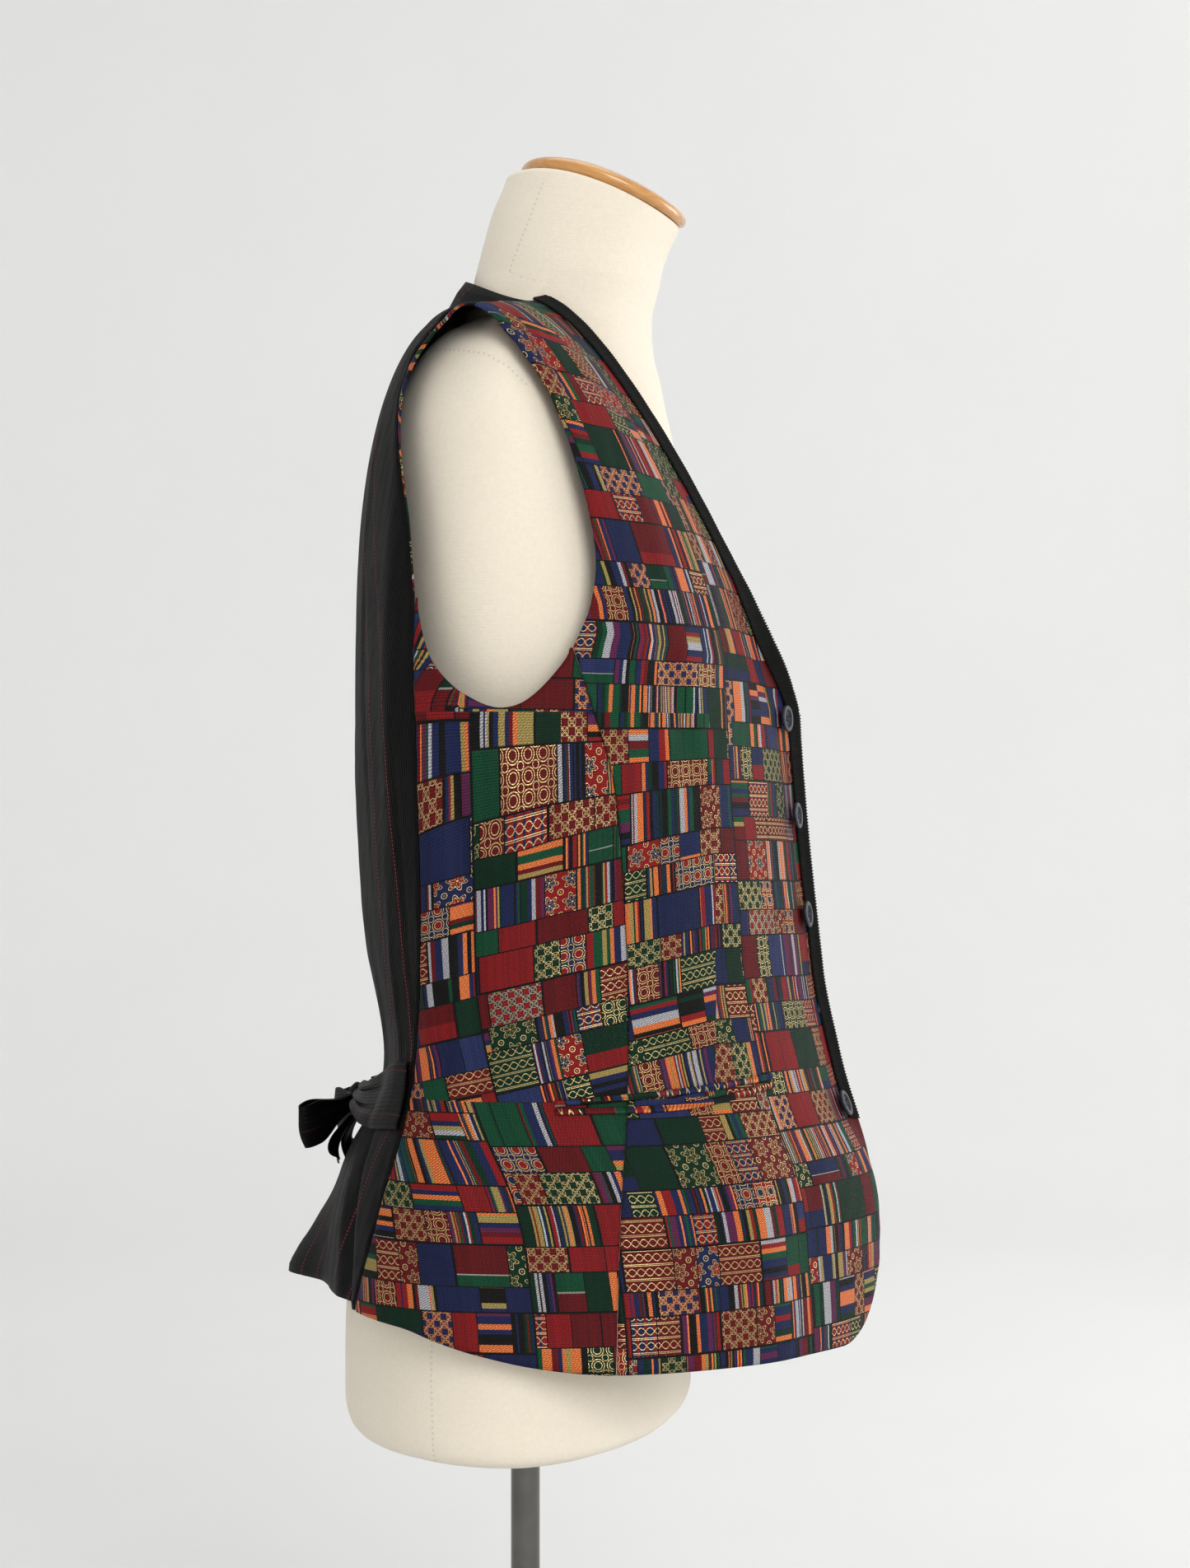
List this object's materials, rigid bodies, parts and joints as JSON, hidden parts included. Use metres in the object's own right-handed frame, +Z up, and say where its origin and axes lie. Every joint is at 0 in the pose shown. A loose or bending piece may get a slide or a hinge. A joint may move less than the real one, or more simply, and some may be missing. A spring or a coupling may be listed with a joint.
{
  "type": "gilet on a dress form",
  "caption": "Fitted V-neck gilet with patchwork fronts, dark satin back, jetted pockets and tied back belt, worn by a limbless dress form on a round base.",
  "frame": {"origin": "on the floor, at the centre of the base's underside, under the pole", "axes": "+Z up, the garment's front faces -Y, the wearer's right is -X"},
  "size_m": [0.3636, 0.3496, 0.9566],
  "materials": {
    "brocade": "woven satin patchwork",
    "satin": "ribbed satin",
    "braid": "matt ribbed braid",
    "jersey": "fine knit cover",
    "wood": "gloss varnish",
    "chrome": "polished",
    "button": "gloss"
  },
  "bodies": {
    "root": {"armhole_facing_left": "brocade", "armhole_facing_right": "brocade", "back_left": "satin", "back_right": "satin", "belt_left": "satin", "belt_right": "satin", "bow_knot": "satin", "bow_loop_left": "satin", "bow_loop_right": "satin", "bow_tail_left": "satin", "bow_tail_right": "satin", "button_1": "button", "button_2": "button", "button_3": "button", "button_5": "button", "form_base": "chrome", "form_neck_cap": "wood", "form_pole": "chrome", "form_torso": "jersey", "front_left": "brocade", "front_right": "brocade", "pocket_welt_lower_left": "brocade", "pocket_welt_lower_right": "brocade", "pocket_welt_upper_left": "brocade", "pocket_welt_upper_right": "brocade", "side_left": "brocade", "side_right": "brocade", "trim_left": "braid", "trim_right": "braid"}
  },
  "joints": []
}
